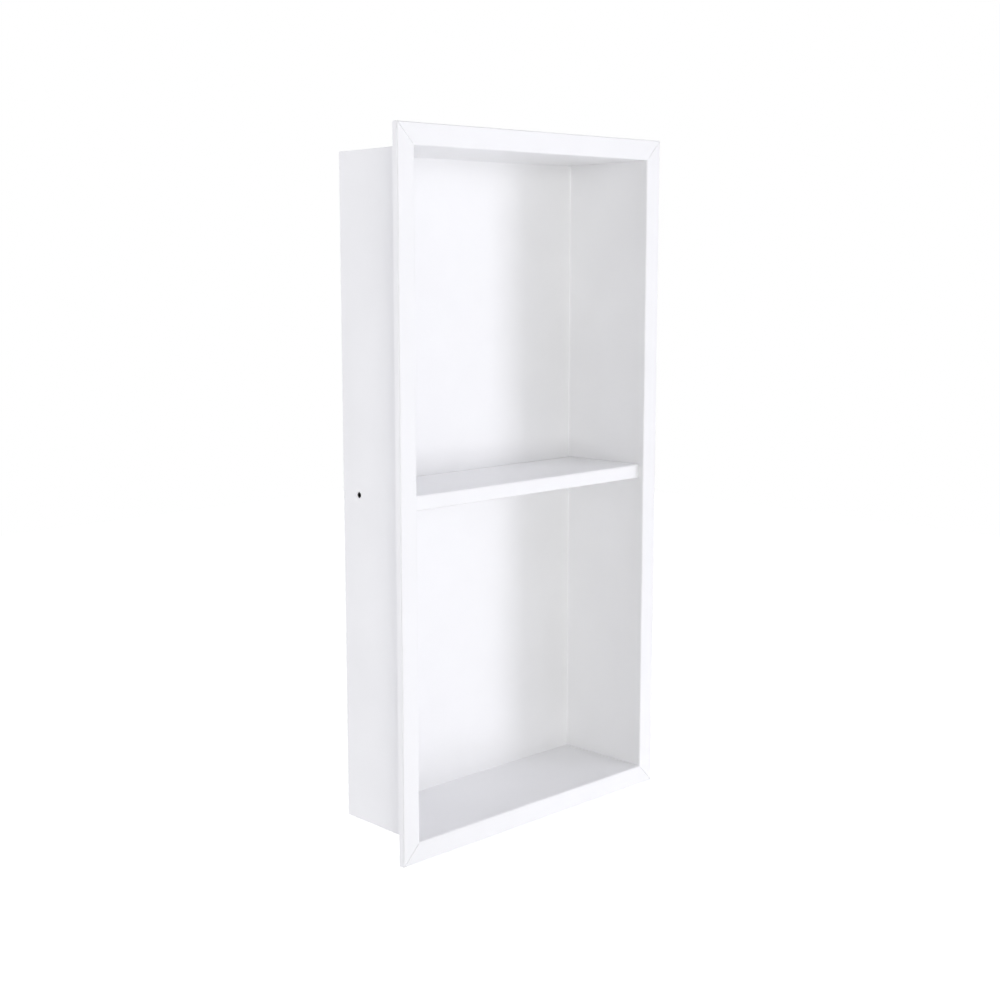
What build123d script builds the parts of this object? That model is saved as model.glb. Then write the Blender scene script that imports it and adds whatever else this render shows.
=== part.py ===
"""Recessed shower niche: a white folded sheet-steel box with a mitred front flange and one fixed shelf.

Frame, in millimetres: +Z up, +X to the right of someone facing the niche, +Y into the wall.
The origin is the middle of the wall plane, where the flange's returned edge seats on the finished wall.
"""
import os

from build123d import *

# Sheet that every piece is folded from
sheet = 1.0
bend_radius = 0.6  # inside radius of the folds at the opening and along the shelf
return_bend_radius = 0.2  # inside radius of the sharper fold at the flange's outer edge

# Box that goes into the wall, measured outside at its back panel
box_width = 304.8
box_height = 609.6
overall_depth = 100.0  # flange's front face to the back panel's outer face
wall_draft = 1.7  # each wall leans out by this much from back to front, so the floor drains
back_fillet = 1.2  # inside radius of the welded corner round the back panel
back_edge_radius = 0.6  # outside radius there, where the weld is dressed

# Front flange
flange_overhang = 18.5  # from the wall's outer face to the flange's outer edge
return_depth = 6.0  # flange's front face to the wall plane
mitre_seam_width = 0.5
mitre_seam_depth = 0.6

# Shelf, a hollow section closed by the side walls
shelf_thickness = 13.8
shelf_setback = 6.0  # flange's front face to the shelf's front face
shelf_mid_height = 304.8  # box's outer bottom, at the back, to the shelf's mid thickness
shelf_seam_gap = 0.3  # open seam under the shelf, along its rear edge
shelf_corner_clearance = 0.3  # rear corners trimmed past the fillet round the back panel

# Round holes in the side walls, which vent the hollow shelf
vent_diameter = 5.5
vent_from_back = 22.0  # hole's axis to the back panel's outer face
vent_rise = 0.5  # hole's axis above the shelf's mid thickness

# Places that follow from the sizes above
outer_bend_radius = bend_radius + sheet
back_margin = sheet + 2 * back_fillet  # back panel's edge that each side's section takes in
front_face = -return_depth
back_outer = overall_depth - return_depth
back_inner = back_outer - sheet
half_width = box_width / 2
half_height = box_height / 2
flange_reach = wall_draft + flange_overhang
shelf_mid = shelf_mid_height - half_height
shelf_front = front_face + shelf_setback
vent_depth = back_outer - vent_from_back


def lean(depth):
    """How far a wall has leaned out at a depth, counted from its place at the back panel."""
    return wall_draft * (back_outer - depth) / overall_depth


def rounded_face(corners):
    """Flat face inside a closed outline of (point, corner radius) pairs."""
    points = [point for point, _ in corners]
    radii = [radius for _, radius in corners]
    return make_face(FilletPolyline(*points, radius=radii, close=True))


def folded_edge_section():
    """Section of the sheet along one side: back panel's edge, wall, flange and returned edge.

    Local x is the distance outside the box's back outline, and local y is the depth into the wall.
    """
    flange_back = front_face + sheet
    return rounded_face(
        [
            ((-back_margin, back_inner), 0),
            ((lean(back_inner) - sheet, back_inner), back_fillet),
            ((lean(front_face) - sheet, front_face), outer_bend_radius),
            ((flange_reach, front_face), return_bend_radius + sheet),
            ((flange_reach, 0), 0),
            ((flange_reach - sheet, 0), 0),
            ((flange_reach - sheet, flange_back), return_bend_radius),
            ((lean(flange_back), flange_back), bend_radius),
            ((0, back_outer), back_edge_radius),
            ((-back_margin, back_outer), 0),
        ]
    )


def mitred_side(half_length):
    """One side of the folded sheet, running along Z and cut at 45 degrees at both ends."""
    run = extrude(folded_edge_section(), amount=half_length + flange_reach, both=True)
    mitre_outline = Polyline(
        (-back_margin, half_length - back_margin),
        (flange_reach, half_length + flange_reach),
        (flange_reach, -half_length - flange_reach),
        (-back_margin, -half_length + back_margin),
        close=True,
    )
    wedge = extrude(Plane.XZ * make_face(mitre_outline), amount=overall_depth, both=True)
    return run & wedge


def mitre_seam(side_x, side_z):
    """Fine groove where two flange sides meet, across the front face and down the returned corner.

    Down the corner it is as deep below both returned faces as it is below the front face.
    """
    corner_x = side_x * (half_width + flange_reach)
    corner_z = side_z * (half_height + flange_reach)
    flat_flange = flange_overhang - bend_radius
    face_groove = Box(
        flat_flange * 2**0.5,
        mitre_seam_depth,
        mitre_seam_width,
        align=(Align.MAX, Align.MIN, Align.CENTER),
    )
    corner_groove = Box(
        2 * mitre_seam_depth * 2**0.5,
        return_depth,
        mitre_seam_width,
        align=(Align.CENTER, Align.MIN, Align.CENTER),
    )
    turn = {(1, 1): -45, (-1, 1): -135, (-1, -1): 135, (1, -1): 45}[side_x, side_z]
    return Pos(corner_x, front_face, corner_z) * Rotation(0, turn, 0) * (face_groove + corner_groove)


def make_niche_body():
    """Five-sided box with its flange, made from sheet and welded at the corners."""
    body = Pos(0, back_inner, 0) * Box(
        box_width - 2 * back_margin,
        sheet,
        box_height - 2 * back_margin,
        align=(Align.CENTER, Align.MIN, Align.CENTER),
    )
    for turn, half_length, reach in (
        (0, half_height, half_width),
        (-90, half_width, half_height),
        (180, half_height, half_width),
        (90, half_width, half_height),
    ):
        body += Rotation(0, turn, 0) * Pos(reach, 0, 0) * mitred_side(half_length)
    for side_x in (1, -1):
        for side_z in (1, -1):
            body -= mitre_seam(side_x, side_z)
    vent = Cylinder(vent_diameter / 2, box_width + 2 * flange_reach, rotation=(0, 90, 0))
    return body - Pos(0, vent_depth, shelf_mid + vent_rise) * vent


def shelf_section():
    """Section of the shelf: one sheet folded three times, open only at the seam under its rear edge.

    Local x is the depth into the wall, and local y is the height from the shelf's mid thickness.
    """
    half = shelf_thickness / 2
    rear_inner = back_inner - sheet
    seam = rear_inner - shelf_seam_gap
    return rounded_face(
        [
            ((seam, -half), 0),
            ((shelf_front, -half), outer_bend_radius),
            ((shelf_front, half), outer_bend_radius),
            ((back_inner, half), outer_bend_radius),
            ((back_inner, -half), 0),
            ((rear_inner, -half), 0),
            ((rear_inner, half - sheet), bend_radius),
            ((shelf_front + sheet, half - sheet), bend_radius),
            ((shelf_front + sheet, sheet - half), bend_radius),
            ((seam, sheet - half), 0),
        ]
    )


def shelf_plan():
    """Plan of the shelf: its ends follow the side walls, and its rear corners clear the fillet there."""

    def wall_face(depth):
        return half_width + lean(depth) - sheet

    trim = back_fillet + shelf_corner_clearance
    right_end = [
        (wall_face(shelf_front), shelf_front),
        (wall_face(back_inner - trim), back_inner - trim),
        (wall_face(back_inner) - trim, back_inner),
    ]
    left_end = [(-x, y) for x, y in reversed(right_end)]
    return make_face(Polyline(*right_end, *left_end, close=True))


def make_shelf():
    """Hollow shelf between the side walls, against the back panel."""
    run = extrude(Plane.YZ * shelf_section(), amount=half_width + wall_draft, both=True)
    ends = extrude(shelf_plan(), amount=shelf_thickness, both=True)
    return Pos(0, 0, shelf_mid) * (run & ends)


os.makedirs("parts", exist_ok=True)
export_step(make_niche_body(), "parts/niche_body.step")
export_step(make_shelf(), "parts/shelf.step")
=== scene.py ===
import math

import bpy
import numpy as np
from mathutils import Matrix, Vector

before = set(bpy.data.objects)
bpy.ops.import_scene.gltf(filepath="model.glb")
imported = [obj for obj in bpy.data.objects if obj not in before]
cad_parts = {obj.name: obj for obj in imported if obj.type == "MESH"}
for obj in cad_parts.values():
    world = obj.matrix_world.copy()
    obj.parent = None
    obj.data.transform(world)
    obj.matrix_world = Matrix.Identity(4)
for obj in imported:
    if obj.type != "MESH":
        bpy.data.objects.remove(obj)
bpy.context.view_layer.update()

MM = 0.001

# Powder coat: a cool white whose film and gloss change a little from place to place
THIN_FILM_WHITE = "#f1f1f2"
THICK_FILM_WHITE = "#f4f4f5"
FILM_PATCH = 70 * MM
FILM_NOISE_RANGE = (0.3, 0.7)  # noise values at which the film counts as thin and as thick
SATIN_ROUGHNESS = (0.30, 0.36)  # where the film is thin and where it is thick
RESIN_IOR = 1.5
PEEL_CELL = 2.6 * MM
PEEL_HEIGHT = 0.05 * MM
PEEL_STRENGTH = 0.06

# Camera: the photograph's frame and the place it was fitted to
IMAGE_WIDTH, IMAGE_HEIGHT = 1000, 1001
FOCAL_LENGTH_PX = 1617.9
SENSOR_WIDTH_MM = 36
CAMERA_PLACE = (-1.0910, -1.0314, 0.2145)
CAMERA_YAW = math.radians(45.406)
CAMERA_PITCH = math.radians(-8.627)
CLIP_NEAR, CLIP_FAR = 0.01, 100

# A niche hangs in a wall, so the floor is well below it
FLOOR_HEIGHT = -3.0
FLOOR_HALF_SIZE = 16.0
PAPER_WHITE = "#f4f4f4"
FLOOR_GLOW = "#ececec"  # brings the lit paper up to white for the camera

# Studio light: the room's radiance, and how much more comes from straight behind the niche.
# Each softbox has a name, an azimuth to the right of the niche's front, an elevation, a distance,
# a width, a height, a radiance and a colour.
ROOM_RADIANCE = 0.14
BACK_RADIANCE = 0.8
COOL_LIGHT = "#f6f6ff"
NEUTRAL_LIGHT = "#fffffd"
SOFTBOXES = (
    ("front_right_softbox", 43.5, 0, 4.0, 1.2, 4.0, 3.3, COOL_LIGHT),
    ("inner_right_softbox", 24, 0, 4.0, 1.2, 4.0, 0.9, COOL_LIGHT),
    ("low_right_softbox", 68, -28, 4.0, 1.6, 1.4, 2.7, COOL_LIGHT),
    ("high_right_softbox", 60, 50, 4.4, 1.8, 1.8, 1.5, COOL_LIGHT),
    ("high_front_softbox", 10, 45, 4.4, 2.4, 1.8, 1.05, COOL_LIGHT),
    ("top_softbox", 0, 75, 4.0, 2.4, 2.4, 1.0, COOL_LIGHT),
    ("front_softbox", -30, 0, 4.8, 1.6, 2.4, 5.9, NEUTRAL_LIGHT),
    ("front_left_softbox", -50, 11, 4.8, 1.6, 3.8, 1.2, NEUTRAL_LIGHT),
    ("left_softbox", -115, 0, 4.8, 3.2, 3.6, 2.45, COOL_LIGHT),
)


def linear(srgb_hex):
    """Linear RGB and alpha of an sRGB hex colour."""
    values = np.array([int(srgb_hex[i : i + 2], 16) for i in (1, 3, 5)]) / 255
    low, high = values / 12.92, ((values + 0.055) / 1.055) ** 2.4
    return (*np.where(values <= 0.04045, low, high), 1.0)


def add_node(tree, kind, settings=None, links=None):
    """New node of a kind, with its attributes or input values set and its inputs linked.

    A linked input is given by its name, or by its number where several have the same name.
    """
    node = tree.nodes.new(kind)
    for name, value in (settings or {}).items():
        if name in node.inputs:
            node.inputs[name].default_value = value
        else:
            setattr(node, name, value)
    for key, output in (links or {}).items():
        tree.links.new(output, node.inputs[key])
    return node


def new_material(name):
    """Material with an empty node tree."""
    material = bpy.data.materials.new(name)
    material.use_nodes = True
    material.node_tree.nodes.clear()
    return material


def satin_powder_coat():
    """White polyester powder, baked on to steel sheet.

    The eye sees an even cool white with a satin gloss. The powder melts and sets in a very low orange
    peel a few millimetres across, and its film is a little thicker in some places than in others.
    """
    material = new_material("satin_polyester_powder_coat_on_steel_sheet")
    tree = material.node_tree
    place = add_node(tree, "ShaderNodeTexCoord").outputs["Object"]
    thin, thick = FILM_NOISE_RANGE

    film = add_node(
        tree,
        "ShaderNodeTexNoise",
        {"Scale": 1 / FILM_PATCH, "Detail": 2.0, "Roughness": 0.5},
        {"Vector": place},
    )
    colour = add_node(tree, "ShaderNodeValToRGB", links={"Fac": film.outputs["Fac"]})
    thin_stop, thick_stop = colour.color_ramp.elements
    thin_stop.position, thin_stop.color = thin, linear(THIN_FILM_WHITE)
    thick_stop.position, thick_stop.color = thick, linear(THICK_FILM_WHITE)
    gloss = add_node(
        tree,
        "ShaderNodeMapRange",
        {"From Min": thin, "From Max": thick, "To Min": SATIN_ROUGHNESS[0], "To Max": SATIN_ROUGHNESS[1]},
        {"Value": film.outputs["Fac"]},
    )

    peel = add_node(
        tree,
        "ShaderNodeTexNoise",
        {"Scale": 1 / PEEL_CELL, "Detail": 1.0, "Roughness": 0.4},
        {"Vector": place},
    )
    bump = add_node(
        tree,
        "ShaderNodeBump",
        {"Strength": PEEL_STRENGTH, "Distance": PEEL_HEIGHT},
        {"Height": peel.outputs["Fac"]},
    )
    coat = add_node(
        tree,
        "ShaderNodeBsdfPrincipled",
        {"IOR": RESIN_IOR, "Metallic": 0.0},
        {
            "Base Color": colour.outputs["Color"],
            "Roughness": gloss.outputs["Result"],
            "Normal": bump.outputs["Normal"],
        },
    )
    add_node(tree, "ShaderNodeOutputMaterial", links={"Surface": coat.outputs["BSDF"]})
    return material


def background_rays(tree):
    """1 for a ray that shows the background: to the camera, in a reflection or through something clear."""
    rays = add_node(tree, "ShaderNodeLightPath")
    shown = rays.outputs["Is Camera Ray"]
    for kind in ("Is Glossy Ray", "Is Transmission Ray"):
        either = add_node(
            tree,
            "ShaderNodeMath",
            {"operation": "MAXIMUM"},
            {0: shown, 1: rays.outputs[kind]},
        )
        shown = either.outputs["Value"]
    return shown


def white_studio_paper():
    """Matt white paper that also glows for the camera, so that it shows as white and keeps a shadow."""
    material = new_material("matt_white_studio_paper")
    tree = material.node_tree
    paper = add_node(tree, "ShaderNodeBsdfDiffuse", {"Color": linear(PAPER_WHITE)})
    glow = add_node(
        tree,
        "ShaderNodeEmission",
        {"Color": linear(FLOOR_GLOW)},
        {"Strength": background_rays(tree)},
    )
    lit = add_node(tree, "ShaderNodeAddShader", links={0: paper.outputs["BSDF"], 1: glow.outputs["Emission"]})
    add_node(tree, "ShaderNodeOutputMaterial", links={"Surface": lit.outputs["Shader"]})
    return material


def add_floor():
    """Plain pale studio floor, a flat square under the niche."""
    square = ((-1, -1), (1, -1), (1, 1), (-1, 1))
    corners = [(FLOOR_HALF_SIZE * x, FLOOR_HALF_SIZE * y, FLOOR_HEIGHT) for x, y in square]
    mesh = bpy.data.meshes.new("studio_floor")
    mesh.from_pydata(corners, [], [(0, 1, 2, 3)])
    mesh.materials.append(white_studio_paper())
    floor = bpy.data.objects.new("studio_floor", mesh)
    bpy.context.scene.collection.objects.link(floor)


def add_world():
    """Soft room light that comes mostly from behind the niche, with white where the camera looks past it."""
    world = bpy.data.worlds.new("studio_room")
    bpy.context.scene.world = world
    world.use_nodes = True
    tree = world.node_tree
    tree.nodes.clear()
    white = linear("#ffffff")
    direction = add_node(tree, "ShaderNodeTexCoord").outputs["Generated"]
    split = add_node(tree, "ShaderNodeSeparateXYZ", links={"Vector": direction})
    radiance = add_node(
        tree,
        "ShaderNodeMapRange",
        {"From Min": 0.0, "From Max": 1.0, "To Min": ROOM_RADIANCE, "To Max": ROOM_RADIANCE + BACK_RADIANCE},
        {"Value": split.outputs["Y"]},
    )
    room = add_node(
        tree,
        "ShaderNodeBackground",
        {"Color": white},
        {"Strength": radiance.outputs["Result"]},
    )
    backdrop = add_node(tree, "ShaderNodeBackground", {"Color": white, "Strength": 1.0})
    mix = add_node(
        tree,
        "ShaderNodeMixShader",
        links={
            "Fac": background_rays(tree),
            1: room.outputs["Background"],
            2: backdrop.outputs["Background"],
        },
    )
    add_node(tree, "ShaderNodeOutputWorld", links={"Surface": mix.outputs["Shader"]})


def add_softbox(name, azimuth, elevation, distance, width, height, radiance, colour):
    """Soft rectangular lamp that faces the niche's middle. Its power is pi times its area and radiance."""
    lamp = bpy.data.lights.new(name, "AREA")
    lamp.shape = "RECTANGLE"
    lamp.size, lamp.size_y = width, height
    lamp.energy = radiance * math.pi * width * height
    lamp.color = linear(colour)[:3]
    softbox = bpy.data.objects.new(name, lamp)
    bpy.context.scene.collection.objects.link(softbox)
    turn, rise = math.radians(azimuth), math.radians(elevation)
    away = Vector((math.sin(turn) * math.cos(rise), -math.cos(turn) * math.cos(rise), math.sin(rise)))
    softbox.location = distance * away
    softbox.rotation_euler = away.to_track_quat("Z", "Y").to_euler()
    softbox.visible_camera = False


def add_camera():
    """Camera at the photograph's place, aimed by its yaw and pitch."""
    lens = bpy.data.cameras.new("photo_camera")
    lens.sensor_fit = "AUTO"
    lens.sensor_width = SENSOR_WIDTH_MM
    lens.lens = FOCAL_LENGTH_PX * SENSOR_WIDTH_MM / max(IMAGE_WIDTH, IMAGE_HEIGHT)
    lens.clip_start, lens.clip_end = CLIP_NEAR, CLIP_FAR
    camera = bpy.data.objects.new("photo_camera", lens)
    bpy.context.scene.collection.objects.link(camera)
    camera.location = CAMERA_PLACE
    camera.rotation_euler = (math.pi / 2 + CAMERA_PITCH, 0, -CAMERA_YAW)
    bpy.context.scene.camera = camera


coat = satin_powder_coat()
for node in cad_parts.values():
    node.data.materials.clear()
    node.data.materials.append(coat)

add_floor()
add_world()
for softbox in SOFTBOXES:
    add_softbox(*softbox)
add_camera()
bpy.context.scene.view_settings.view_transform = "Standard"
